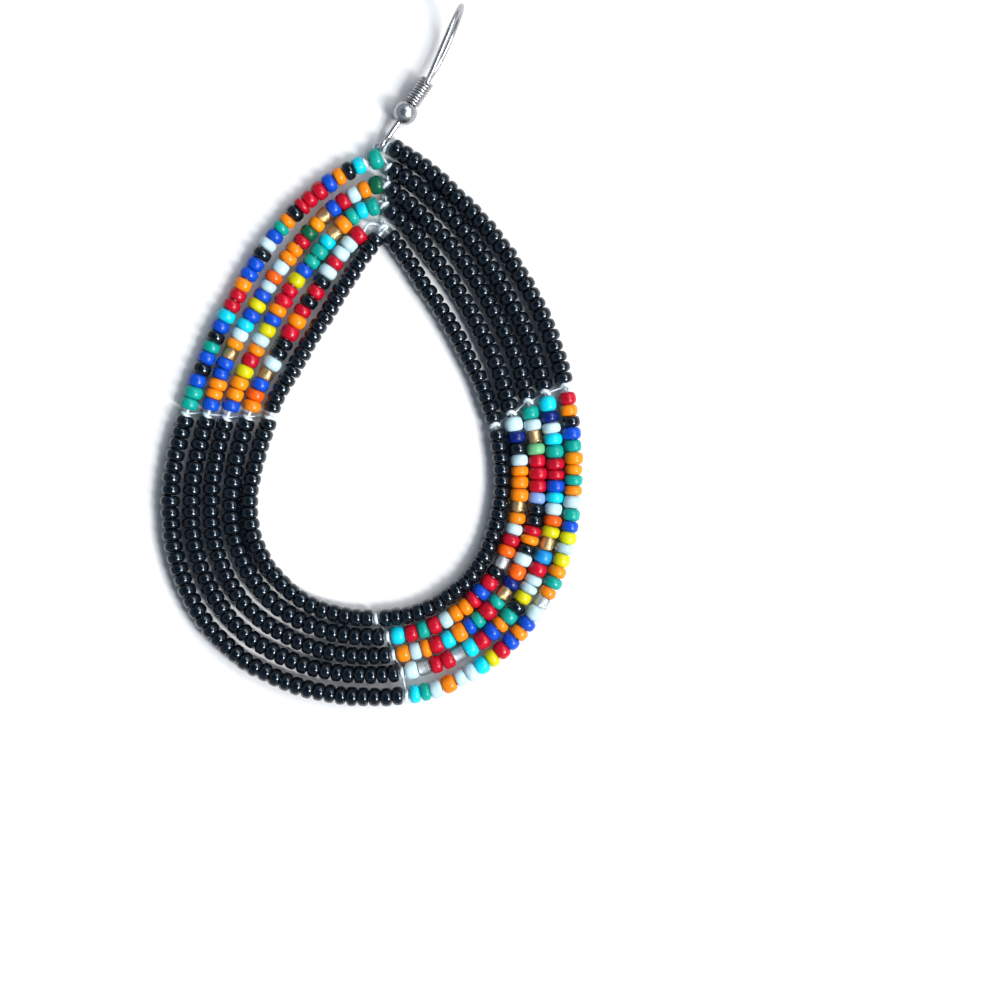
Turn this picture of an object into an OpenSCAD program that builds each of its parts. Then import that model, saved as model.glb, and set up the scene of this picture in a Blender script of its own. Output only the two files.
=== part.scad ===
// Beaded hoop earring: five nested teardrop strings of seed beads that hang from a
// fish-hook ear wire by a loop of thread. It lies flat, its beads on the plane z = 0,
// with the arch of the hook standing up. X runs across the hoop, Y runs up to the hook.

/* [Bead rows] */
// Diameter of the strings of seed beads
bead_d = 2.15; // [1.8:0.05:2.15]
// Share of the diameter left at the rounded ends of a string
end_share = 0.7; // [0.4:0.05:0.9]

/* [Hanging thread] */
// Diameter of the thread that carries the hook
thread_d = 0.44; // [0.3:0.02:0.5]

/* [Ear wire] */
// Diameter of the wire
wire_d = 0.72; // [0.6:0.02:0.8]
// Inside diameter of the eye
eye_inner_d = 0.96; // [0.9:0.02:1.1]
// Length from the middle of the eye to the first bend
straight_l = 10.8; // [10.6:0.1:12]
// Sideways bend of the shank, in degrees
shank_bend = 12; // [0:1:20]
// Radius of the shank's sideways bend
shank_bend_r = 20; // [10:1:30]
// Straight length between the shank's bend and the arch
shank_l = 0.4; // [0.2:0.1:2]
// Radius of the arch, to the middle of the wire
arch_r = 4.4; // [3.5:0.1:5]
// Straight length of the tail
tail_l = 4.9; // [3:0.1:6]
// Outward flare of the tail's end, in degrees
tail_flare = 14; // [5:1:30]

/* [Ball and coil] */
// Diameter of the ball
ball_d = 3.1; // [2.5:0.1:3.1]
// Distance of the ball from the middle of the eye
ball_place = 5; // [4.5:0.1:5.2]
// Diameter of the coil's wire
coil_wire_d = 0.36; // [0.3:0.02:0.36]
// Outside diameter of the coil
coil_d = 2.04; // [1.9:0.02:2.1]
// Turns of the coil
coil_turns = 9; // [5:1:9]

/* [Hidden] */
$fn = 48;

black_glass = "#141a24";
waxed_white = "#e6edf2";
bright_silver = "#c4c6c9";

// Middle of the teardrop, from which the rows are measured
drop_centre = [0.11, -11.66];

// Distances of the five rows from the middle of the teardrop, at angles turned
// clockwise from the top. Columns: angle, outer, second, middle, fourth, inner row.
stations = [
    [  4, 39.4, 36.6, 34.1, 31.4, 28.3],
    [ 10, 37.6, 34.8, 32.0, 29.3, 25.4],
    [ 20, 34.5, 31.9, 29.1, 25.9, 22.0],
    [ 40, 30.2, 27.0, 24.4, 21.6, 18.1],
    [ 60, 27.6, 24.5, 22.0, 19.4, 16.5],
    [ 80, 26.1, 23.5, 21.1, 18.7, 16.3],
    [100, 26.6, 24.2, 21.9, 19.5, 17.1],
    [120, 28.5, 26.0, 23.6, 21.2, 18.7],
    [140, 30.4, 27.9, 25.5, 23.1, 20.7],
    [160, 31.9, 29.0, 26.6, 24.2, 21.8],
    [180, 32.1, 29.1, 26.7, 24.3, 21.9],
    [200, 32.1, 29.2, 26.5, 24.1, 21.6],
    [220, 31.6, 28.5, 25.7, 22.9, 20.3],
    [240, 29.4, 26.3, 23.5, 20.7, 18.1],
    [260, 26.7, 23.6, 20.9, 18.2, 15.6],
    [280, 24.6, 21.9, 19.4, 16.8, 14.1],
    [300, 24.7, 22.1, 19.4, 16.8, 14.2],
    [320, 27.0, 23.9, 20.9, 17.9, 15.2],
    [340, 32.0, 28.4, 25.1, 21.7, 18.6],
    [350, 34.8, 31.4, 28.3, 25.2, 21.9],
    [362, 38.1, 34.7, 32.0, 29.4, 26.9]
];
// Angles where each row starts, right of the top, and ends, left of it
row_starts = [3.6, 3.6, 3.6, 3.6, 3.8];
row_ends = [360, 361.2, 360.5, 357.2, 361.2];

bead_sides = 8;
rings_per_row = 38;
// Angle over which a string's end rounds off
end_angle = 0.8;
// A flat of the eight-sided string rests on the plane
bead_corner_r = bead_d / 2 / cos(180 / bead_sides);

wire_r = wire_d / 2;
wire_sides = 12;
// Largest bend between two rings of the wire, in degrees
wire_bend_step = 12;
running_gap = 0.06;
eye_r = eye_inner_d / 2 + wire_r;
// Place of the eye from the middle of the teardrop, and its height
eye_place = [1.43, 39.7, 1.28];
// Heading of the hook, clockwise from +Y, with its lean and its rise to the ball
hook_heading = 35.3;
hook_lean = 4.2;
hook_rise = 3.6;
// The wire kinks into the eye, so that the eye is centred under it
kink_r = 0.6;
kink_s = sqrt(pow(eye_r + kink_r, 2) - pow(kink_r, 2));
kink_bend = acos(kink_r / (eye_r + kink_r));
// Angle at which the eye's free end stops short of the wire
eye_opening = 46;
tail_flare_r = 6;
tail_tip_l = 0.6;

coil_r = (coil_d - coil_wire_d) / 2;
coil_pitch = coil_wire_d + 0.03;
coil_steps = 18;
coil_sides = 6;
// The first turn sits on the ball
coil_place = ball_place + sqrt(pow(ball_d / 2, 2) - pow(coil_r, 2)) + coil_wire_d / 2 + running_gap;

// Route of the hanging thread, from the outer row's left end through the eye
thread_route = [
    [0.15, 37.68, 1.08],
    [0.42, 37.95, 1.08],
    [0.3, 38.45, 1.1],
    [0.12, 38.9, 1.12],
    [0.3, 39.45, 1.17],
    [0.8, 39.85, 1.25],
    [1.43, 39.7, 1.28],
    [1.95, 39.5, 1.2],
    [2.38, 39.4, 1.1]
];
thread_sides = 8;

// Station below an angle
function below(a, i = 0) = i >= len(stations) - 2 || stations[i + 1][0] > a ? i : below(a, i + 1);

// Change of a row's distance for each degree at station i
function station_slope(i, row) =
    let (lo = max(i - 1, 0), hi = min(i + 1, len(stations) - 1))
    (stations[hi][row] - stations[lo][row]) / (stations[hi][0] - stations[lo][0]);

// Distance of a row at an angle, on a smooth curve through the stations
function distance(a, row) =
    let (i = below(a))
    let (h = stations[i + 1][0] - stations[i][0])
    let (t = (a - stations[i][0]) / h)
    stations[i][row] * (1 - 3 * t * t + 2 * t * t * t)
    + stations[i + 1][row] * (3 * t * t - 2 * t * t * t)
    + station_slope(i, row) * h * (t - 2 * t * t + t * t * t)
    + station_slope(i + 1, row) * h * (t * t * t - t * t);

function row_point(a, row) =
    [distance(a, row) * sin(a) + drop_centre.x, distance(a, row) * cos(a) + drop_centre.y, bead_d / 2];

function unit(v) = v / norm(v);

// Direction of a line of points at point i
function heading(line, i) = unit(line[min(i + 1, len(line) - 1)] - line[max(i - 1, 0)]);

// Corners of a ring of a tube, square to its line, with a flat side below
function ring(centre, along, r, sides) =
    let (side = unit(cross(along, [0, 0, 1])))
    let (up = cross(side, along))
    [for (k = [0 : sides - 1]) let (a = 360 * (k + 0.5) / sides) centre + r * (cos(a) * side + sin(a) * up)];

// Closed tube through rings that have the same number of corners
module tube(rings) {
    sides = len(rings[0]);
    last = len(rings) - 1;
    polyhedron(
        points = [for (r = rings) each r],
        faces = concat(
            [[for (k = [sides - 1 : -1 : 0]) k]],
            [for (i = [0 : last - 1], k = [0 : sides - 1])
                let (a = i * sides, b = a + sides, next = (k + 1) % sides)
                [a + k, a + next, b + next, b + k]],
            [[for (k = [0 : sides - 1]) last * sides + k]]
        ),
        convexity = 10
    );
}

// Tube along one row, from the right of the top round to its left
module bead_string(row) {
    from = row_starts[row - 1];
    to = row_ends[row - 1];
    first = from + end_angle;
    step = (to - end_angle - first) / (rings_per_row - 1);
    angles = concat([from], [for (i = [0 : rings_per_row - 1]) first + i * step], [to]);
    line = [for (a = angles) row_point(a, row)];
    last = len(line) - 1;
    tube([
        for (i = [0 : last])
            ring(line[i], heading(line, i), bead_corner_r * (i == 0 || i == last ? end_share : 1), bead_sides)
    ]);
}

module outer_bead_row() {
    color(black_glass) bead_string(1);
}

module second_bead_row() {
    color(black_glass) bead_string(2);
}

module middle_bead_row() {
    color(black_glass) bead_string(3);
}

module fourth_bead_row() {
    color(black_glass) bead_string(4);
}

module inner_bead_row() {
    color(black_glass) bead_string(5);
}

module hanging_thread() {
    line = [for (p = thread_route) p + [drop_centre.x, drop_centre.y, 0]];
    color(waxed_white)
        tube([for (i = [0 : len(line) - 1]) ring(line[i], heading(line, i), thread_d / 2, thread_sides)]);
}

// The hook's own axes: Z along the straight wire from the middle of the eye, X up
module on_hook() {
    translate([drop_centre.x, drop_centre.y, 0] + eye_place)
        rotate([-90, -90, -hook_heading])
            rotate([0, 0, hook_lean])
                rotate([0, hook_rise, 0])
                    children();
}

// Vector v turned about a unit axis
function turned(v, axis, a) = v * cos(a) + cross(axis, v) * sin(a) + axis * (axis * v) * (1 - cos(a));

// A place on a wire is its point, its direction, and a direction square to it that doesn't twist.
// This is the place after a straight length and part of a bend. The step gives the straight
// length, the roll of the bending plane, the bend and its radius.
function bent_place(place, step, part = 1) =
    let (start = place[0] + step[0] * place[1])
    let (inward = turned(place[2], place[1], step[1]))
    let (axis = cross(place[1], inward))
    [
        start + step[3] * (inward - turned(inward, axis, part * step[2])),
        turned(place[1], axis, part * step[2]),
        turned(place[2], axis, part * step[2])
    ];

// Places along all the steps of a wire, one for each few degrees of bend
function wire_places(place, steps, i = 0) =
    let (count = max(1, ceil(steps[i][2] / wire_bend_step)))
    let (here = [for (k = [steps[i][0] > 0 ? 0 : 1 : count]) bent_place(place, steps[i], k / count)])
    i == len(steps) - 1 ? here : concat(here, wire_places(here[len(here) - 1], steps, i + 1));

function wire_ring(place, r) =
    let (side = cross(place[1], place[2]))
    [for (k = [0 : wire_sides - 1])
        let (a = 360 * (k + 0.5) / wire_sides)
        place[0] + r * (cos(a) * place[2] + sin(a) * side)];

module ear_wire() {
    eye_end = [eye_r * sin(eye_opening), 0, eye_r * cos(eye_opening)];
    first = [eye_end, [cos(eye_opening), 0, -sin(eye_opening)], -eye_end / eye_r];
    bends = wire_places(first, [
        [0, 0, 270 - eye_opening + kink_bend, eye_r],
        [0, 180, kink_bend, kink_r],
        [straight_l - kink_s, -90, shank_bend, shank_bend_r],
        [shank_l, 0, 180, arch_r],
        [tail_l, 180, tail_flare, tail_flare_r]
    ]);
    last = bends[len(bends) - 1];
    // The tip of the tail is rounded off over its last wire radius
    tip = [
        for (t = [0, 0.5, 0.85, 1])
            wire_ring([last[0] + (tail_tip_l - wire_r * (1 - t)) * last[1], last[1], last[2]],
                wire_r * sqrt(1 - 0.95 * t * t))
    ];
    color(bright_silver)
        on_hook()
            tube(concat([wire_ring(first, wire_r)], [for (place = bends) wire_ring(place, wire_r)], tip));
}

module ball_bead() {
    color(bright_silver)
        on_hook()
            translate([0, 0, ball_place])
                difference() {
                    sphere(d = ball_d, $fn = 64);
                    cylinder(h = ball_d + 1, r = wire_r + running_gap, center = true);
                }
}

// Point on the middle line of the coil's wire
function coil_point(i) =
    let (turn = 360 * i / coil_steps)
    [coil_r * cos(turn), coil_r * sin(turn), coil_place + coil_pitch * i / coil_steps];

// Ring of the coil's wire, square to its line
function coil_ring(i) =
    let (turn = 360 * i / coil_steps)
    let (out = [cos(turn), sin(turn), 0])
    let (along = unit([-coil_r * sin(turn), coil_r * cos(turn), coil_pitch / 360 * 180 / PI]))
    let (up = cross(out, along))
    [for (k = [0 : coil_sides - 1])
        let (a = 360 * k / coil_sides)
        coil_point(i) + coil_wire_d / 2 * (cos(a) * out + sin(a) * up)];

module wire_coil() {
    color(bright_silver)
        on_hook()
            tube([for (i = [0 : coil_turns * coil_steps]) coil_ring(i)]);
}

outer_bead_row();
second_bead_row();
middle_bead_row();
fourth_bead_row();
inner_bead_row();
hanging_thread();
ear_wire();
ball_bead();
wire_coil();
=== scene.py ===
"""Beaded hoop earring, lying on a pale surface: the look of every piece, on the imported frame."""
import math
import random

import bpy
import numpy as np
from mathutils import Matrix, Vector


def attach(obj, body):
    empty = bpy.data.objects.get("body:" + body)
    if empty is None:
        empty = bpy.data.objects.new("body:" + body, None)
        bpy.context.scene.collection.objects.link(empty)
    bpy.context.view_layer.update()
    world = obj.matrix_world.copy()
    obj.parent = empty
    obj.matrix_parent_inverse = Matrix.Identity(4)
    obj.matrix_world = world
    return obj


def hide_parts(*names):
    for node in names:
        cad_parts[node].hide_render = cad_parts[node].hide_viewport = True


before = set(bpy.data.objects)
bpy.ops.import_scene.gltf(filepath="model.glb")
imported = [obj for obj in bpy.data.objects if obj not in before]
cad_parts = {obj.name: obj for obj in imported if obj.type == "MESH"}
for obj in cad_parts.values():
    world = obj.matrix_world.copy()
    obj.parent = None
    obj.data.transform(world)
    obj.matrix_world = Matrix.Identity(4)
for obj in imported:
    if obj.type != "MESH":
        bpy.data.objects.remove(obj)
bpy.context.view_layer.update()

MM = 0.001
chance = random.Random(7)

# All sizes and places below are in millimetres, and angles in degrees, in the frame of
# the part's source.

# Middle of the teardrop, from which the rows are measured
DROP_CENTRE = Vector((0.11, -11.66, 0))

# Distances of the five rows from the middle of the teardrop, at angles clockwise from
# the top. Columns: angle, outer, second, middle, fourth, inner row.
STATIONS = [
    (4, 39.4, 36.6, 34.1, 31.4, 28.3),
    (10, 37.5, 34.7, 31.8, 29.1, 25.3),
    (20, 34.3, 31.6, 28.7, 25.5, 21.7),
    (40, 29.85, 26.85, 24.2, 21.3, 18.0),
    (60, 27.3, 24.5, 22.0, 19.3, 16.5),
    (80, 26.1, 23.5, 21.1, 18.7, 16.3),
    (100, 26.6, 24.2, 21.9, 19.5, 17.1),
    (120, 28.5, 26.0, 23.6, 21.2, 18.7),
    (140, 30.4, 27.9, 25.5, 23.1, 20.7),
    (160, 31.9, 29.0, 26.6, 24.2, 21.8),
    (168, 32.2, 29.1, 26.7, 24.3, 21.9),
    (180, 32.1, 29.2, 26.8, 24.3, 21.9),
    (200, 32.15, 29.3, 26.7, 24.15, 21.65),
    (220, 31.5, 28.65, 25.95, 23.1, 20.5),
    (240, 29.25, 26.4, 23.7, 20.9, 18.3),
    (260, 26.5, 23.65, 21.0, 18.25, 15.6),
    (280, 24.6, 21.9, 19.4, 16.8, 14.1),
    (300, 24.7, 22.1, 19.4, 16.8, 14.2),
    (320, 26.8, 23.8, 20.9, 17.9, 15.0),
    (340, 31.8, 28.2, 25.1, 21.7, 18.2),
    (350, 34.8, 31.5, 28.5, 25.4, 21.5),
    (356, 36.6, 33.3, 30.7, 27.9, 24.4),
    (362, 38.1, 34.7, 32.0, 29.4, 28.0),
]
ROWS = ["outer", "second", "middle", "fourth", "inner"]
LAST_ROW = len(ROWS) - 1
# Points along a quarter of a row, from which its length is measured
LINE_STEPS = 400
# Half of the angle over which a row's direction is taken
AIM_STEP = 0.5
# Angles of each row's ends and seams. Columns: start, right, bottom and left seam, end.
SEAMS = [
    (3.6, 71.9, 172.0, 281.4, 362.0),
    (3.6, 72.0, 172.3, 282.5, 362.3),
    (3.6, 73.3, 174.0, 283.0, 361.5),
    (3.6, 75.5, 175.2, 285.5, 357.9),
    (4.3, 79.0, 178.6, 288.7, 361.8),
]
# Half of the room that a seam leaves between the beads on its two sides
SEAM_ROOM = 0.42

# Black beads of each row. Columns: upper right, lower left quarter.
BLACK_BEADS = [(27, 38), (24, 35), (23, 32), (21, 27), (20, 24)]
# Beads of the two coloured quarters: the lower right one from the right seam down, and
# the upper left one from the top seam down. Each letter is a bead's colour, and the digit
# below it gives the bead's length, in tenths of a millimetre over one millimetre.
# A dash is a bare stretch of thread, with its length in tenths of a millimetre.
COLOURED_BEADS = [
    (
        "-ROKBGyyGOWGBLWYyGOcWBOBRYCWWOWGC",
        "365466634376463755459556757659634",
        "G-CKOBRRRKOGBWKBBORRCBKGBKBGG",
        "86654676152344565655654465765",
    ),
    (
        "CNWCGRRBCWoYASRWWYKGOBRCcRRcW",
        "95457536464578732557368767667",
        "DOWRBAyDROOWoWBYBCWyABBOOB",
        "85665555444744455453454436",
    ),
    (
        "GWAgRRRlKKROKWoNAGRGBOCROWO",
        "756566654422369464943867257",
        "GCGOACGGBYRROBYWORYyyB-",
        "55474675575544653766653",
    ),
    (
        "WNKWOOOAOWRocKRBROOWRGRC",
        "956536745555648535567578",
        "RWWRWKRKRORKKWABoO-",
        "8664656547934756552",
    ),
    ("K" * 23, "5" * 23, "K" * 20, "5" * 20),
]
# The largest bead, at the upper end of the outer row's coloured string
TOP_BEAD_R = 1.42

# Radii of the black beads of the outer, second, middle, fourth and inner row
BLACK_BEAD_R = (1.26, 1.2, 1.15, 1.21, 1.18)
COLOURED_BEAD_R = 1.21
BEAD_HOLE_R = 0.42
# The smallest and the largest beads, as shares of the usual radius
BLACK_R_SPREAD = (0.97, 1.01)
COLOURED_R_SPREAD = (0.93, 1.04)
# Height of the beads' middles over the surface, and the least gap under a bead
BEAD_Z = 1.17
BEAD_CLEARANCE = 0.01
# Points round a bead, and round its section
BEAD_SIDES = 24
BEAD_PROFILE = 16
# Distance outwards from the hole at which a bead is longest
BEAD_BULGE = 0.1
# Exponents of the beads' rounded sections: 2 is an ellipse, and more is squarer
BLACK_SQUARENESS = 2.7
COLOURED_SQUARENESS = 2.6
# The beads of clear glass are smaller, and their wider holes are lined
LINED_BEAD_R = 1.08
LINED_HOLE_R = 0.73
# Unevenness of the beads: how wedge-shaped and how oval they are, as shares, how far they
# tilt, how far they lie off the row's line, and their tones
BEAD_WEDGE = 0.07
BEAD_UNEVEN = 0.03
BEAD_TILT = 3
BEAD_WANDER = 0.05
BEAD_TONES = (0.86, 1.0)
BLACK_LENGTH_SPREAD = (0.95, 1.05)
# Share of its place on the string that a bead fills
BEAD_FILL = 0.99

# Diameters of the threads
ROW_THREAD_D = 0.5
STITCH_D = 0.5
LINK_D = 0.26
TAIL_D = 0.4
HANGING_THREAD_D = 0.44
# Lobes of a twisted thread: its radius between them, and how much they add, as shares
PLY_BASE = 0.9
PLY_SWELL = 0.13
# Rings of a tube's rounded end: distance out and radius, as shares of the tube's radius
END_RINGS = [(0.6, 0.8), (0.95, 0.35)]
# Points along a row's thread, and the steps between the points of the stitches and of
# the loose and hanging strands
THREAD_POINTS = 200
STITCH_STEP = 0.12
STRAND_STEP = 0.1
# Angle at which the inner row's thread closes over its own start
INNER_THREAD_END = 363.8

# Knots that tie the rows together, a line for each of the top, right, bottom and left
# seams. Columns: outer, second, middle, fourth, inner row.
KNOT_ANGLES = [
    (358.6, 3.4, 3.1, 2.9, 2.7),
    (71.9, 71.8, 72.9, 75.5, 79.0),
    (172.0, 172.3, 174.0, 175.2, 178.6),
    (281.4, 282.5, 283.0, 285.5, 288.7),
]
# Headings, anticlockwise from +X, of the thread that shows on top of each knot
KNOT_HEADINGS = [
    (-57, 40, 41, 33, 30),
    (-14, -17, -15, -3, 18),
    (-92, -84, -82, -84, -79),
    (-37, -41, -40, -34, -10),
]
# How far each seam's knots bulge along the rows, and how far they lie along them, clockwise
KNOT_BULGES = (0, -0.28, 0, 0)
KNOT_SHIFTS = (0, 0, 0, -0.3)
# Half of a knot's width and height, how far its middle is over the row's, and its points
KNOT_REACH = 0.5
KNOT_RISE = 0.86
KNOT_LIFT = 0.1
KNOT_STEPS = 20
# The second turn of a knot in the top and bottom seams, beside the first and smaller
SECOND_TURN_SHIFTS = (0.42, None, 0.42, None)
SECOND_TURN_SIZE = 0.6
# Heights of the threads between the knots, over the middle of the beads, from the outer
# row inwards. At None, the thread that hangs on the hook takes the link's place.
LINK_RISES = [
    (None, 0.15, -0.2, -0.5),
    (0.0, -0.8, -0.1, -0.8),
    (0.1, -0.8, -0.8, -0.8),
    (-0.6, 0.0, -0.7, -0.9),
]
# How deep a link's ends lie under the rows' middles, and how far it runs at that depth
LINK_DIP = 0.25
LINK_LEAD = 0.3
# How far the threads of the four outer strings arch outwards at the top seam, how far
# they all arch upwards, and how far back in its own row each of them begins
TAIL_ARCHES = (0, 0.1, 0.45, 0.8)
TAIL_LIFT = 0.4
TAIL_LEAD = 0.4
TAIL_STEPS = 5
# A second strand beside the eye of the hook
LOOSE_STRAND = [
    (1.5, 38.85, 0.9),
    (1.62, 39.05, 1.3),
    (1.95, 39.55, 1.5),
    (2.3, 39.95, 1.4),
    (2.6, 39.9, 1.15),
]
# The thread that hangs on the hook, from the outer row's end through the eye
HANGING_ROUTE = [
    (0.15, 37.68, 1.08),
    (0.42, 37.95, 1.08),
    (0.3, 38.45, 1.1),
    (0.12, 38.9, 1.12),
    (0.3, 39.45, 1.17),
    (0.8, 39.85, 1.25),
    (1.43, 39.7, 1.28),
    (1.95, 39.5, 1.2),
    (2.38, 39.4, 1.1),
]

# Ear wire: its eye, straight, bent shank, arch and flared tail
WIRE_R = 0.36
EYE_HOLE_R = 0.48
EYE_R = EYE_HOLE_R + WIRE_R
STRAIGHT_L = 10.8
SHANK_BEND = 12
SHANK_BEND_R = 20
SHANK_L = 0.4
ARCH_R = 4.4
TAIL_L = 4.9
TAIL_FLARE = 14
TAIL_FLARE_R = 6
TAIL_TIP_L = 0.6
# Place of the eye from the middle of the teardrop, and the hook's heading, lean and rise
EYE_PLACE = Vector((1.43, 39.7, 1.28))
HOOK_HEADING = 35.3
HOOK_LEAN = 4.2
HOOK_RISE = 3.6
# The wire kinks into the eye, so that the eye is centred under it
KINK_R = 0.6
KINK_S = math.sqrt((EYE_R + KINK_R) ** 2 - KINK_R ** 2)
KINK_BEND = math.degrees(math.acos(KINK_R / (EYE_R + KINK_R)))
# Angle at which the eye's free end stops short of the wire
EYE_OPENING = 46
# Longest step along the wire, and the largest bend between two of its points
WIRE_STEP = 0.5
WIRE_BEND_STEP = 4

# The ball, with its distance from the middle of the eye, and the coil beyond it
BALL_R = 1.55
BALL_PLACE = 5
BALL_BORE_R = 0.42
BALL_RINGS = 40
BALL_SIDES = 56
RUNNING_GAP = 0.06
COIL_WIRE_R = 0.18
COIL_OUTER_R = 1.02
COIL_R = COIL_OUTER_R - COIL_WIRE_R
COIL_TURNS = 9
COIL_STEPS = 40
COIL_GAP = 0.03
COIL_PITCH = 2 * COIL_WIRE_R + COIL_GAP
COIL_PLACE = BALL_PLACE + math.sqrt(BALL_R ** 2 - COIL_R ** 2) + COIL_WIRE_R + RUNNING_GAP


# Meshes

class Shell:
    """Points and faces of one piece, with a material and a tone for each part of it."""

    def __init__(self):
        self.points, self.faces, self.marks, self.tones = [], [], [], []
        self.count = 0

    def add(self, points, faces, marks=0, tone=1.0):
        self.points.append(np.asarray(points, float))
        self.faces.extend([tuple(k + self.count for k in face) for face in faces])
        self.marks.extend([marks] * len(faces) if isinstance(marks, int) else marks)
        self.tones.extend([tone] * len(points))
        self.count += len(points)

    def piece(self, name, materials, stands_for=()):
        """The shell as an object that rides on the part, in place of the named solids."""
        mesh = bpy.data.meshes.new(name)
        mesh.from_pydata((np.vstack(self.points) * MM).tolist(), [], self.faces)
        for material in materials:
            mesh.materials.append(material)
        mesh.polygons.foreach_set("material_index", self.marks)
        mesh.polygons.foreach_set("use_smooth", [True] * len(self.faces))
        tone = mesh.attributes.new("tone", "FLOAT", "POINT")
        tone.data.foreach_set("value", self.tones)
        mesh.validate()
        mesh.update()
        made = bpy.data.objects.new(name, mesh)
        bpy.context.scene.collection.objects.link(made)
        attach(made, "root")
        if stands_for:
            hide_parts(*stands_for)


def grid_faces(rings, sides, closed=False):
    """Quads between rings of points that have the same number of sides."""
    last = rings if closed else rings - 1
    return [
        (i * sides + k, i * sides + (k + 1) % sides,
         (i + 1) % rings * sides + (k + 1) % sides, (i + 1) % rings * sides + k)
        for i in range(last) for k in range(sides)
    ]


def smooth_path(points, step):
    """Points on a Catmull-Rom curve through the given ones, about a step apart."""
    points = [Vector(p) for p in points]
    ends = [2 * points[0] - points[1]] + points + [2 * points[-1] - points[-2]]
    path = []
    for a, b, c, d in zip(ends, ends[1:], ends[2:], ends[3:]):
        count = max(2, math.ceil((c - b).length / step))
        for k in range(count):
            t = k / count
            path.append(0.5 * (2 * b + (c - a) * t + (2 * a - 5 * b + 4 * c - d) * t ** 2
                               + (3 * b - a - 3 * c + d) * t ** 3))
    path.append(points[-1])
    return path


def path_frames(path):
    """A point, a direction and two directions square to it, for each point of a path."""
    side = None
    frames = []
    for i, p in enumerate(path):
        along = (path[min(i + 1, len(path) - 1)] - path[max(i - 1, 0)]).normalized()
        if side is None:
            side = along.cross(Vector((0, 0, 1)))
            if side.length < 0.1:
                side = along.cross(Vector((0, 1, 0)))
        side = (side - along * side.dot(along)).normalized()
        frames.append((p, along, side, along.cross(side)))
    return frames


def add_tube(shell, path, radius, sides=12, plies=0, lay=2.2):
    """A tube with rounded ends along a path. With plies it has the lobes of a twisted
    thread, and lay is the length of one turn of the twist."""
    frames = path_frames(path)
    p, along, side, up = frames[0]
    q, on, side_2, up_2 = frames[-1]
    head = [(p - along * radius * a, along, side, up) for a, _ in reversed(END_RINGS)]
    tail = [(q + on * radius * a, on, side_2, up_2) for a, _ in END_RINGS]
    end_radii = [radius * r for _, r in END_RINGS]
    radii = end_radii[::-1] + [radius] * len(frames) + end_radii
    frames = head + frames + tail
    points = []
    run = 0.0
    for i, (p, along, side, up) in enumerate(frames):
        if i:
            run += (p - frames[i - 1][0]).length
        for k in range(sides):
            a = 2 * math.pi * k / sides
            r = radii[i]
            if plies:
                twist = plies / 2 * (a - 2 * math.pi * run / lay)
                r *= PLY_BASE + PLY_SWELL * abs(math.cos(twist))
            points.append(p + (side * math.cos(a) + up * math.sin(a)) * r)
    faces = grid_faces(len(frames), sides)
    faces.append(tuple(range(sides - 1, -1, -1)))
    faces.append(tuple((len(frames) - 1) * sides + k for k in range(sides)))
    shell.add(points, faces)


# Lines of the rows

def distance(angle, row):
    """Distance of a row from the middle of the teardrop: a smooth curve through the stations."""
    last = len(STATIONS) - 1
    i = 0
    while i < last - 1 and STATIONS[i + 1][0] <= angle:
        i += 1

    def slope(k):
        low, high = STATIONS[max(k - 1, 0)], STATIONS[min(k + 1, last)]
        return (high[row + 1] - low[row + 1]) / (high[0] - low[0])

    a, b = STATIONS[i], STATIONS[i + 1]
    h = b[0] - a[0]
    t = (angle - a[0]) / h
    return (a[row + 1] * (1 - 3 * t * t + 2 * t ** 3) + b[row + 1] * (3 * t * t - 2 * t ** 3)
            + slope(i) * h * (t - 2 * t * t + t ** 3) + slope(i + 1) * h * (t ** 3 - t * t))


def row_point(angle, row, z=BEAD_Z):
    """Point on a row's line."""
    r, a = distance(angle, row), math.radians(angle)
    return DROP_CENTRE + Vector((r * math.sin(a), r * math.cos(a), z))


def row_frame(angle, row):
    """A row's point, its direction clockwise, and its direction out of the teardrop."""
    ahead, behind = row_point(angle + AIM_STEP, row), row_point(angle - AIM_STEP, row)
    along = (ahead - behind).normalized()
    return row_point(angle, row), along, Vector((-along.y, along.x, 0))


class Stretch:
    """Part of a row between two angles, measured along its line."""

    def __init__(self, row, start, end):
        self.row = row
        self.angles = np.linspace(start, end, LINE_STEPS)
        line = np.array([row_point(a, row) for a in self.angles])
        steps = np.linalg.norm(np.diff(line, axis=0), axis=1)
        self.run = np.concatenate([[0], np.cumsum(steps)])
        self.length = self.run[-1]

    def angle(self, s):
        """Angle at a distance from the stretch's start."""
        return float(np.interp(s, self.run, self.angles))


# Materials

def new_material(name):
    """A material with its nodes, links and shader."""
    material = bpy.data.materials.new(name)
    material.use_nodes = True
    nodes = material.node_tree.nodes
    return material, nodes, material.node_tree.links, nodes["Principled BSDF"]


def noise(nodes, links, scale, detail=3.0, roughness=0.55):
    """Noise texture in the frame's own coordinates."""
    coords = nodes.new("ShaderNodeTexCoord")
    made = nodes.new("ShaderNodeTexNoise")
    made.inputs["Scale"].default_value = scale
    made.inputs["Detail"].default_value = detail
    made.inputs["Roughness"].default_value = roughness
    links.new(coords.outputs["Object"], made.inputs["Vector"])
    return made


def grey(value):
    return (value, value, value, 1)


def ramp(nodes, links, source, low, high, start=0.3, end=0.7):
    """Colours that run from low to high with the source's value."""
    made = nodes.new("ShaderNodeValToRGB")
    made.color_ramp.elements[0].position = start
    made.color_ramp.elements[1].position = end
    made.color_ramp.elements[0].color = low
    made.color_ramp.elements[1].color = high
    links.new(source, made.inputs["Fac"])
    return made


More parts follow.
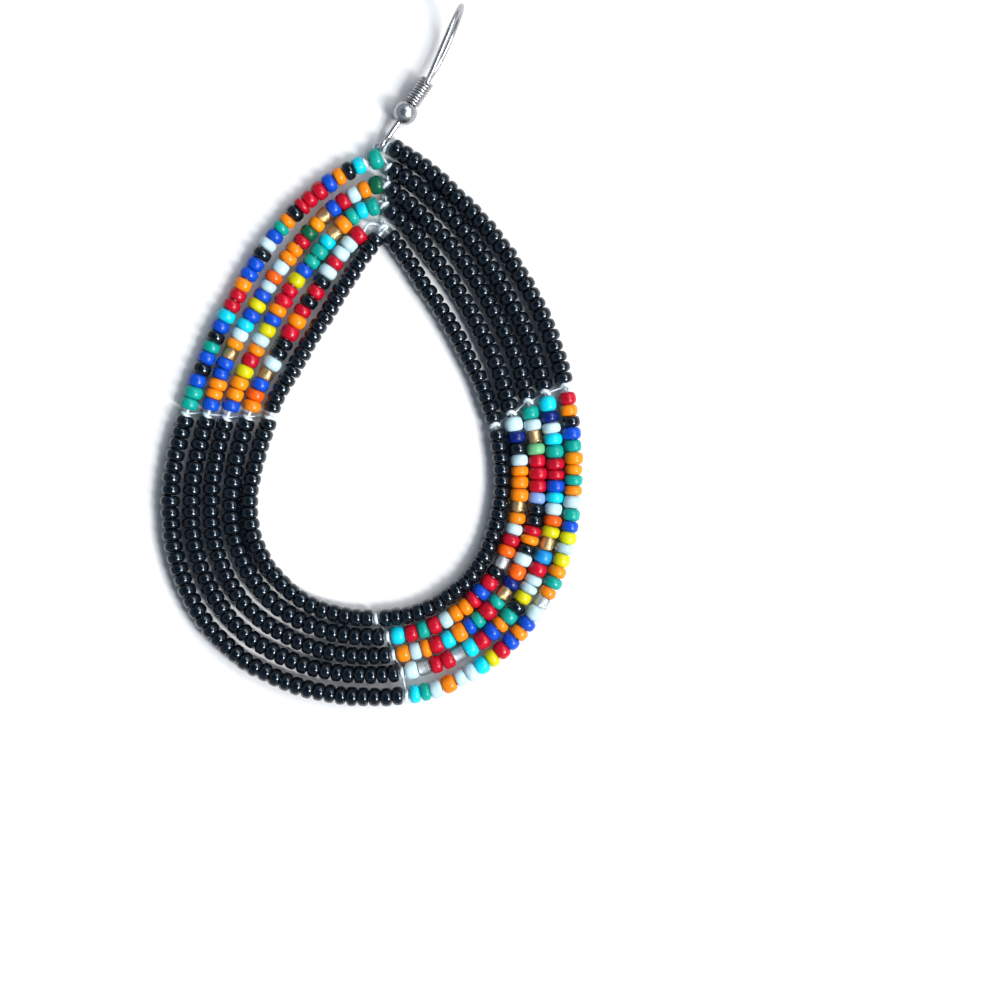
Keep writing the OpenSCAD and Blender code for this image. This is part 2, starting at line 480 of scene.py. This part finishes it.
def multiplied(nodes, links, one, other):
    """Product of two colours."""
    mixed = nodes.new("ShaderNodeMix")
    mixed.data_type = "RGBA"
    mixed.blend_type = "MULTIPLY"
    mixed.inputs["Factor"].default_value = 1
    links.new(one, mixed.inputs["A"])
    links.new(other, mixed.inputs["B"])
    return mixed.outputs["Result"]


def add_bump(nodes, links, shader, source, strength, depth):
    """Relief of a given depth, in metres."""
    bump = nodes.new("ShaderNodeBump")
    bump.inputs["Strength"].default_value = strength
    bump.inputs["Distance"].default_value = depth
    links.new(source, bump.inputs["Height"])
    links.new(bump.outputs["Normal"], shader.inputs["Normal"])


def linear(colour):
    """Linear colour from one as it is seen on a screen, in steps from 0 to 255."""
    return tuple(
        ((c / 255 + 0.055) / 1.055) ** 2.4 if c > 10 else c / 255 / 12.92 for c in colour
    )


def toned(nodes, links, colour, spread=0.12):
    """The colour, cloudy inside a bead and a little different from bead to bead."""
    cloud = noise(nodes, links, scale=900, detail=2.0)
    dark = tuple(c * (1 - spread) for c in colour) + (1,)
    light = tuple(min(1, c * (1 + spread * 0.6) + 0.004) for c in colour) + (1,)
    cloudy = ramp(nodes, links, cloud.outputs["Fac"], dark, light)
    tone = nodes.new("ShaderNodeAttribute")
    tone.attribute_name = "tone"
    return multiplied(nodes, links, cloudy.outputs["Color"], tone.outputs["Fac"])


def add_waves(nodes, links, shader):
    """The slightly wavy skin of pressed glass."""
    waves = noise(nodes, links, scale=700, detail=1.0)
    add_bump(nodes, links, shader, waves.outputs["Fac"], strength=0.25, depth=0.00012)


def opaque_glass(name, colour, gloss=0.24, level=0.28):
    """Pressed opaque glass: smooth, with faint clouds in the colour and a slightly wavy skin."""
    material, nodes, links, shader = new_material(name)
    colour = linear(colour)
    links.new(toned(nodes, links, colour), shader.inputs["Base Color"])
    haze = noise(nodes, links, scale=2600)
    rough = ramp(nodes, links, haze.outputs["Fac"], grey(gloss * 0.7), grey(gloss * 1.7))
    links.new(rough.outputs["Color"], shader.inputs["Roughness"])
    shader.inputs["IOR"].default_value = 1.52
    shader.inputs["Specular IOR Level"].default_value = level
    add_waves(nodes, links, shader)
    return material


def clear_glass(name, colour, roughness=0.03):
    """Transparent glass with faint haze."""
    material, nodes, links, shader = new_material(name)
    tint = toned(nodes, links, linear(colour), spread=0.05)
    links.new(tint, shader.inputs["Base Color"])
    haze = noise(nodes, links, scale=1800, detail=2.0)
    rough = ramp(nodes, links, haze.outputs["Fac"], grey(roughness), grey(roughness * 3))
    links.new(rough.outputs["Color"], shader.inputs["Roughness"])
    shader.inputs["IOR"].default_value = 1.5
    shader.inputs["Transmission Weight"].default_value = 1.0
    return material


def metal(name, colour, roughness, scratch_scale, bump_strength, painted_side_shade=1.0):
    """Plated metal with fine scratches in its gloss. Its sides and underside may have painted
    shade: a darker base colour where the surface faces sideways or down.
    """
    material, nodes, links, shader = new_material(name)
    shader.inputs["Metallic"].default_value = 1.0
    worn = noise(nodes, links, scratch_scale, detail=4.0)
    bright = linear(colour)
    dim = tuple(c * 0.86 for c in bright)
    base = ramp(nodes, links, worn.outputs["Fac"], dim + (1,), bright + (1,))
    # Painted shade: the base colour is darkened where the surface faces sideways or down, so the
    # wire shows dark edges.
    coords = nodes.new("ShaderNodeTexCoord")
    facing = nodes.new("ShaderNodeSeparateXYZ")
    links.new(coords.outputs["Normal"], facing.inputs["Vector"])
    painted_shade_ramp = ramp(nodes, links, facing.outputs["Z"], grey(painted_side_shade), grey(1), 0.6, 0.97)
    shaded = multiplied(nodes, links, base.outputs["Color"], painted_shade_ramp.outputs["Color"])
    links.new(shaded, shader.inputs["Base Color"])
    fine = noise(nodes, links, scratch_scale * 4, detail=5.0)
    smooth, dull = grey(roughness * 0.75), grey(roughness * 1.4)
    rough = ramp(nodes, links, fine.outputs["Fac"], smooth, dull)
    links.new(rough.outputs["Color"], shader.inputs["Roughness"])
    add_bump(nodes, links, shader, worn.outputs["Fac"], bump_strength, depth=0.00005)
    return material


def thread_material():
    """Waxed thread: bluish white, half glossy, with fine fibres."""
    material, nodes, links, shader = new_material("waxed_thread")
    fibre = noise(nodes, links, scale=5000, detail=4.0, roughness=0.7)
    dark = linear((176, 194, 204)) + (1,)
    pale = linear((226, 236, 241)) + (1,)
    base = ramp(nodes, links, fibre.outputs["Fac"], dark, pale)
    links.new(base.outputs["Color"], shader.inputs["Base Color"])
    shader.inputs["Roughness"].default_value = 0.42
    shader.inputs["Sheen Weight"].default_value = 0.2
    add_bump(nodes, links, shader, fibre.outputs["Fac"], strength=0.4, depth=0.00004)
    return material


BEAD_COLOURS = {
    "K": ("black_glass", (0, 7, 18)),
    "W": ("white_glass", (188, 218, 226)),
    "R": ("red_glass", (186, 2, 36)),
    "O": ("orange_glass", (244, 132, 2)),
    "o": ("deep_orange_glass", (240, 92, 2)),
    "Y": ("yellow_glass", (204, 198, 0)),
    "y": ("amber_glass", (234, 138, 0)),
    "L": ("lime_glass", (206, 214, 12)),
    "G": ("teal_green_glass", (0, 158, 144)),
    "g": ("light_green_glass", (110, 186, 130)),
    "D": ("dark_green_glass", (0, 90, 62)),
    "C": ("cyan_glass", (0, 206, 232)),
    "B": ("blue_glass", (0, 72, 194)),
    "N": ("navy_glass", (0, 28, 112)),
    "S": ("sky_blue_glass", (18, 142, 220)),
    "l": ("lilac_glass", (132, 166, 232)),
    "A": ("gold_lined_glass", (252, 240, 214)),
    "c": ("crystal_glass", (244, 248, 250)),
}
CLEAR_CODES = "Ac"


def black_glass(name, colour):
    """Jet black glass: a sharp gloss over a softer teal one."""
    material, nodes, links, shader = new_material(name)
    links.new(toned(nodes, links, linear(colour), spread=0.3), shader.inputs["Base Color"])
    haze = noise(nodes, links, scale=2600)
    rough = ramp(nodes, links, haze.outputs["Fac"], grey(0.24), grey(0.34))
    links.new(rough.outputs["Color"], shader.inputs["Roughness"])
    shader.inputs["Specular IOR Level"].default_value = 0.16
    shader.inputs["Specular Tint"].default_value = (0.25, 0.65, 1, 1)
    shader.inputs["Coat Weight"].default_value = 0.9
    shader.inputs["Coat Roughness"].default_value = 0.05
    add_waves(nodes, links, shader)
    return material


def bead_materials():
    """Materials in the order of the colour codes, then those of the linings."""
    made = []
    for code, (name, colour) in BEAD_COLOURS.items():
        if code in CLEAR_CODES:
            made.append(clear_glass(name, colour))
        elif code == "K":
            made.append(black_glass(name, colour))
        else:
            made.append(opaque_glass(name, colour))
    linings = [
        ("gold_lining", (244, 218, 172), 0.42),
        ("silver_lining", (250, 252, 253), 0.5),
    ]
    for name, colour, roughness in linings:
        made.append(metal(name, colour, roughness, scratch_scale=3000, bump_strength=0.6))
    return made


# Places of the colours and of the linings in the list of materials
MARKS = {code: i for i, code in enumerate(BEAD_COLOURS)}
LININGS = {"A": len(MARKS), "c": len(MARKS) + 1}


# Beads

def power(value, exponent):
    """A power that keeps the value's sign."""
    return math.copysign(abs(value) ** exponent, value)


def bead_points(length, radius, hole_r, squareness):
    """Points of one bead about the X axis: a ring of rounded sections, with its hole."""
    bulge_r = hole_r + BEAD_BULGE
    exponent = 2 / squareness
    points = []
    for i in range(BEAD_SIDES):
        a = 2 * math.pi * i / BEAD_SIDES
        for k in range(BEAD_PROFILE):
            b = 2 * math.pi * (k + 0.5) / BEAD_PROFILE
            reach = radius - bulge_r if math.sin(b) > 0 else BEAD_BULGE
            x = length / 2 * power(math.cos(b), exponent)
            r = bulge_r + reach * power(math.sin(b), exponent)
            points.append((x, r * math.cos(a), r * math.sin(a)))
    return np.array(points)


BEAD_FACES = grid_faces(BEAD_SIDES, BEAD_PROFILE, closed=True)


def bead_radius(code, row):
    """Radius of one bead of a row, a little different from bead to bead."""
    if code == "K":
        return BLACK_BEAD_R[row] * chance.uniform(*BLACK_R_SPREAD)
    usual = LINED_BEAD_R if code in LININGS else COLOURED_BEAD_R
    return usual * chance.uniform(*COLOURED_R_SPREAD)


def add_bead(shell, code, place, along, length, radius):
    """One bead with its hole along a direction, slightly uneven as real ones are."""
    hole_r = LINED_HOLE_R if code in LININGS else BEAD_HOLE_R
    squareness = BLACK_SQUARENESS if code == "K" else COLOURED_SQUARENESS
    points = bead_points(length, radius, hole_r, squareness)
    points[:, 0] *= 1 + chance.uniform(-BEAD_WEDGE, BEAD_WEDGE) * points[:, 1] / radius
    points[:, 1] *= 1 + chance.uniform(-BEAD_UNEVEN, BEAD_UNEVEN)
    turn = Matrix.Rotation(chance.uniform(0, 2 * math.pi), 3, "X")
    yaw = Matrix.Rotation(math.radians(chance.uniform(-BEAD_TILT, BEAD_TILT)), 3, "Z")
    pitch = Matrix.Rotation(math.radians(chance.uniform(-BEAD_TILT, BEAD_TILT)), 3, "Y")
    side = Vector((-along.y, along.x, 0))
    aim = Matrix((along, side, along.cross(side))).transposed()
    spin = np.array(aim @ yaw @ pitch @ turn)
    marks = MARKS[code]
    if code in LININGS:
        # The faces round the hole, where the section is turned to the bead's middle
        turns = [2 * math.pi * (k + 1) / BEAD_PROFILE for k in range(BEAD_PROFILE)]
        lined = [math.sin(b) < -0.5 for b in turns]
        marks = [LININGS[code] if inside else MARKS[code] for inside in lined] * BEAD_SIDES
    tone = chance.uniform(*BEAD_TONES)
    shell.add(points @ spin.T + np.array(place), BEAD_FACES, marks, tone)


def quarter_beads(row):
    """Colours and lengths of each of a row's four quarters, in clockwise order."""
    upper_right, lower_left = BLACK_BEADS[row]
    right, right_lengths, left, left_lengths = COLOURED_BEADS[row]
    charts = [
        ("K" * upper_right, "5" * upper_right),
        (right, right_lengths),
        ("K" * lower_left, "5" * lower_left),
        (left[::-1], left_lengths[::-1]),
    ]
    quarters = []
    for colours, lengths in charts:
        beads = []
        for code, digit in zip(colours, lengths, strict=True):
            length = int(digit) / 10 + (0 if code == "-" else 1)
            if code == "K":
                length *= chance.uniform(*BLACK_LENGTH_SPREAD)
            beads.append((code, length))
        quarters.append(beads)
    return quarters


def room_angle(row, seam):
    """The seam's half room, as an angle."""
    return math.degrees(SEAM_ROOM / distance(SEAMS[row][seam], row))


def make_row(row, materials):
    """All the beads of one row, as one joined mesh that stands for the row's tube."""
    shell = Shell()
    for q, beads in enumerate(quarter_beads(row)):
        start = SEAMS[row][q] + (0 if q == 0 else 1) * room_angle(row, q)
        end = SEAMS[row][q + 1] - (0 if q == 3 else 1) * room_angle(row, q + 1)
        stretch = Stretch(row, start, end)
        scale = stretch.length / sum(length for _, length in beads)
        s = 0.0
        for code, length in beads:
            length *= scale
            s += length / 2
            if code != "-":
                place, along, out = row_frame(stretch.angle(s), row)
                radius = bead_radius(code, row)
                place = place + out * chance.uniform(-BEAD_WANDER, BEAD_WANDER)
                if row == 0 and q == 3 and s > stretch.length - length:
                    radius = TOP_BEAD_R
                place.z = max(BEAD_Z, radius + BEAD_CLEARANCE)
                add_bead(shell, code, place, along, length * BEAD_FILL, radius)
            s += length / 2
    names = [f"{ROWS[row]}_bead_row"]
    shell.piece(f"{ROWS[row]}_beads", materials, names)


glass = bead_materials()
for row in range(len(ROWS)):
    make_row(row, glass)


# Threads

def knot_line(row, angle, heading, bulge, size, shift):
    """One turn of thread round a row's own thread, in the gap between two beads."""
    place, along, _ = row_frame(angle, row)
    across = Matrix.Rotation(math.radians(heading), 3, "Z") @ Vector((1, 0, 0))
    points = []
    for k in range(KNOT_STEPS + 1):
        a = math.radians(360 / KNOT_STEPS * k - 90)
        lean = along * (shift + bulge * math.sin(a) ** 2)
        rise = Vector((0, 0, KNOT_RISE * size * math.sin(a) + KNOT_LIFT))
        points.append(place + lean + across * KNOT_REACH * size * math.cos(a) + rise)
    return points


def link_line(row, angle, next_angle, rise):
    """A thread from a row's knot to the next row's."""
    start, _, out = row_frame(angle, row)
    end, _, far_out = row_frame(next_angle, row + 1)
    low = Vector((0, 0, -LINK_DIP))
    middle = (start + end) / 2 + Vector((0, 0, rise))
    leaves = start - out * LINK_LEAD + low
    arrives = end + far_out * LINK_LEAD + low
    return smooth_path([start + low, leaves, middle, arrives, end + low], STITCH_STEP)


def tail_line(row, arch):
    """The end of a coloured string's thread, from its last bead to the next row's knot."""
    place, along, out = row_frame(SEAMS[row][-1], row)
    knot, _, _ = row_frame(KNOT_ANGLES[0][row + 1], row + 1)
    points = [place - along * TAIL_LEAD]
    for k in range(TAIL_STEPS + 1):
        t = k / TAIL_STEPS
        arched = (out * arch + Vector((0, 0, TAIL_LIFT))) * (1 - (2 * t - 1) ** 2)
        points.append(place.lerp(knot, t) + arched)
    return smooth_path(points, STITCH_STEP)


thread = thread_material()
row_threads = Shell()
for row in range(len(ROWS)):
    first = KNOT_ANGLES[0][row] if row else SEAMS[row][0]
    last = SEAMS[row][-1] if row < LAST_ROW else INNER_THREAD_END
    line = [row_point(a, row) for a in np.linspace(first, last, THREAD_POINTS)]
    add_tube(row_threads, line, ROW_THREAD_D / 2, sides=10, plies=2)
row_threads.piece("row_threads", [thread])

stitches = Shell()
for seam, (angles, headings) in enumerate(zip(KNOT_ANGLES, KNOT_HEADINGS)):
    bulge = KNOT_BULGES[seam]
    shift = SECOND_TURN_SHIFTS[seam]
    for row, (angle, heading) in enumerate(zip(angles, headings)):
        turn = knot_line(row, angle, heading, bulge, size=1, shift=KNOT_SHIFTS[seam])
        add_tube(stitches, turn, STITCH_D / 2, sides=10, plies=2, lay=1.6)
        if shift:
            second = knot_line(row, angle, heading, bulge, SECOND_TURN_SIZE, shift)
            second_r = STITCH_D / 2 * SECOND_TURN_SIZE
            add_tube(stitches, second, second_r, sides=10, plies=2, lay=1.6)
        if row < LAST_ROW and LINK_RISES[seam][row] is not None:
            link = link_line(row, angle, angles[row + 1], LINK_RISES[seam][row])
            add_tube(stitches, link, LINK_D / 2, sides=8, plies=2, lay=1.2)
for row, arch in enumerate(TAIL_ARCHES):
    add_tube(stitches, tail_line(row, arch), TAIL_D / 2, sides=10, plies=2, lay=1.4)
strand = smooth_path([Vector(p) + DROP_CENTRE for p in LOOSE_STRAND], STRAND_STEP)
add_tube(stitches, strand, STITCH_D / 2, plies=2, lay=1.4)
stitches.piece("seam_stitches", [thread])

hanging = Shell()
route = smooth_path([Vector(p) + DROP_CENTRE for p in HANGING_ROUTE], STRAND_STEP)
add_tube(hanging, route, HANGING_THREAD_D / 2, plies=2)
hanging.piece("hanging_strand", [thread], ["hanging_thread"])


# Hook

def on_hook(point):
    """A point in the hook's own axes: Z along its straight wire, X up."""
    turn = (
        Matrix.Rotation(math.radians(-HOOK_HEADING), 3, "Z")
        @ Matrix.Rotation(math.radians(-90), 3, "Y")
        @ Matrix.Rotation(math.radians(-90), 3, "X")
        @ Matrix.Rotation(math.radians(HOOK_LEAN), 3, "Z")
        @ Matrix.Rotation(math.radians(HOOK_RISE), 3, "Y")
    )
    return DROP_CENTRE + EYE_PLACE + turn @ Vector(point)


def wire_path():
    """Line of the ear wire: its eye, kink, straight, shank, arch and tail."""
    # Columns: length of a straight, then its bend's side about the wire, angle and radius
    steps = [
        (0, 0, 270 - EYE_OPENING + KINK_BEND, EYE_R),
        (0, 180, KINK_BEND, KINK_R),
        (STRAIGHT_L - KINK_S, -90, SHANK_BEND, SHANK_BEND_R),
        (SHANK_L, 0, 180, ARCH_R),
        (TAIL_L, 180, TAIL_FLARE, TAIL_FLARE_R),
    ]
    opening = math.radians(EYE_OPENING)
    place = Vector((math.sin(opening), 0, math.cos(opening))) * EYE_R
    along = Vector((math.cos(opening), 0, -math.sin(opening)))
    up = -place.normalized()
    path = [place]
    for straight, roll, bend, bend_r in steps:
        parts = int(straight / WIRE_STEP) + 1
        for k in range(1, parts):
            path.append(place + along * straight * k / parts)
        place = place + along * straight
        if straight:
            path.append(place)
        inward = Matrix.Rotation(math.radians(roll), 3, along) @ up
        axis = along.cross(inward)
        centre = place + inward * bend_r
        count = max(3, math.ceil(bend / WIRE_BEND_STEP))
        for k in range(1, count + 1):
            turn = Matrix.Rotation(math.radians(bend * k / count), 3, axis)
            path.append(centre - turn @ inward * bend_r)
        full = Matrix.Rotation(math.radians(bend), 3, axis)
        place = centre - full @ inward * bend_r
        along = full @ along
        up = full @ up
    path.append(place + along * (TAIL_TIP_L - WIRE_R))
    return path


# The wire's sides get painted shade: a darker base colour where they face sideways or down.
wire = metal(
    "silver_plate", (222, 222, 225), roughness=0.27, scratch_scale=1500, bump_strength=0.02,
    painted_side_shade=0.6,
)
hook = Shell()
add_tube(hook, [on_hook(p) for p in wire_path()], WIRE_R, sides=20)
hook.piece("hook_wire", [wire], ["ear_wire"])

coil = Shell()
coil_line = []
for i in range(COIL_STEPS * COIL_TURNS + 1):
    a = 2 * math.pi * i / COIL_STEPS
    z = COIL_PLACE + COIL_PITCH * i / COIL_STEPS
    coil_line.append(on_hook((COIL_R * math.cos(a), COIL_R * math.sin(a), z)))
add_tube(coil, coil_line, COIL_WIRE_R)
coil.piece("hook_coil", [wire], ["wire_coil"])

ball = Shell()
bore = math.asin(BALL_BORE_R / BALL_R)
ball_points = []
for i in range(BALL_RINGS + 1):
    a = bore + (math.pi - 2 * bore) * i / BALL_RINGS
    for k in range(BALL_SIDES):
        b = 2 * math.pi * k / BALL_SIDES
        r = BALL_R * math.sin(a)
        ball_points.append((r * math.cos(b), r * math.sin(b), BALL_PLACE - BALL_R * math.cos(a)))
ball_faces = grid_faces(BALL_RINGS + 1, BALL_SIDES, closed=True)
ball.add([on_hook(p) for p in ball_points], ball_faces)
ball.piece("hook_ball", [wire], ["ball_bead"])


# Surface, light and camera

PHOTO_PX = (987, 1000)
# A photograph's pixel, in millimetres on the surface, and the pixel at the drop's middle
MM_PER_PX = 0.13
DROP_CENTRE_PX = (372, 450)
CAMERA_HEIGHT = 240
SENSOR = 36
# Distance of the lights from the middle of the earring
LIGHT_REACH = 1000
# Half of the floor's width, and its depth under the earring, in metres
FLOOR_REACH = 3.0
FLOOR_DEPTH = 0.00002
# Colours of the sky, at heights from 0 at the horizon to 1 overhead
SKY = [
    (0, (0.08, 0.08, 0.08, 1)),
    (0.2, (0.24, 0.25, 0.27, 1)),
    (0.45, (0.4, 0.44, 0.48, 1)),
    (0.86, (0.03, 0.07, 0.13, 1)),
]

centre_x = DROP_CENTRE.x + (PHOTO_PX[0] / 2 - DROP_CENTRE_PX[0]) * MM_PER_PX
centre_y = DROP_CENTRE.y + (DROP_CENTRE_PX[1] - PHOTO_PX[1] / 2) * MM_PER_PX

camera_data = bpy.data.cameras.new("camera")
camera_data.sensor_width = SENSOR
camera_data.lens = SENSOR * CAMERA_HEIGHT / (PHOTO_PX[1] * MM_PER_PX)
camera_data.clip_start = 0.01
camera_data.clip_end = 10
camera = bpy.data.objects.new("camera", camera_data)
camera.location = (centre_x * MM, centre_y * MM, (CAMERA_HEIGHT + BEAD_Z) * MM)
bpy.context.scene.collection.objects.link(camera)
bpy.context.scene.camera = camera

floor_material, nodes, links, shader = new_material("pale_surface")
grain = noise(nodes, links, scale=60)
pale = ramp(nodes, links, grain.outputs["Fac"], grey(0.78), grey(0.82))
links.new(pale.outputs["Color"], shader.inputs["Base Color"])
shader.inputs["Roughness"].default_value = 0.9
shader.inputs["Specular IOR Level"].default_value = 0.1
floor_mesh = bpy.data.meshes.new("pale_floor")
signs = ((-1, -1), (1, -1), (1, 1), (-1, 1))
corners = [(x * FLOOR_REACH, y * FLOOR_REACH, 0) for x, y in signs]
floor_mesh.from_pydata(corners, [], [(0, 1, 2, 3)])
floor_mesh.materials.append(floor_material)
floor = bpy.data.objects.new("pale_floor", floor_mesh)
floor.location.z = -FLOOR_DEPTH
bpy.context.scene.collection.objects.link(floor)

world = bpy.data.worlds.new("studio")
world.use_nodes = True
nodes, links = world.node_tree.nodes, world.node_tree.links
direction = nodes.new("ShaderNodeTexCoord")
height = nodes.new("ShaderNodeSeparateXYZ")
links.new(direction.outputs["Generated"], height.inputs["Vector"])
(lowest, horizon), *between, (highest, zenith) = SKY
sky = ramp(nodes, links, height.outputs["Z"], horizon, zenith, lowest, highest)
for place, colour in between:
    sky.color_ramp.elements.new(place).color = colour
links.new(sky.outputs["Color"], nodes["Background"].inputs["Color"])
nodes["Background"].inputs["Strength"].default_value = 1.0
bpy.context.scene.world = world


def area_light(name, azimuth, elevation, width, height, power_w):
    """A soft light that is aimed at the middle of the earring."""
    data = bpy.data.lights.new(name, "AREA")
    data.shape = "RECTANGLE"
    data.size = width * MM
    data.size_y = height * MM
    data.energy = power_w
    light = bpy.data.objects.new(name, data)
    a, e = math.radians(azimuth), math.radians(elevation)
    away = Vector((math.cos(a) * math.cos(e), math.sin(a) * math.cos(e), math.sin(e)))
    light.location = away * LIGHT_REACH * MM
    light.rotation_euler = away.to_track_quat("Z", "Y").to_euler()
    bpy.context.scene.collection.objects.link(light)


area_light("window_light", azimuth=-34, elevation=44, width=230, height=400, power_w=12)
area_light("window_edge", azimuth=2, elevation=50, width=420, height=70, power_w=2.5)
area_light("pale_wall", azimuth=40, elevation=50, width=700, height=500, power_w=4)

bpy.context.scene.view_settings.view_transform = "Standard"
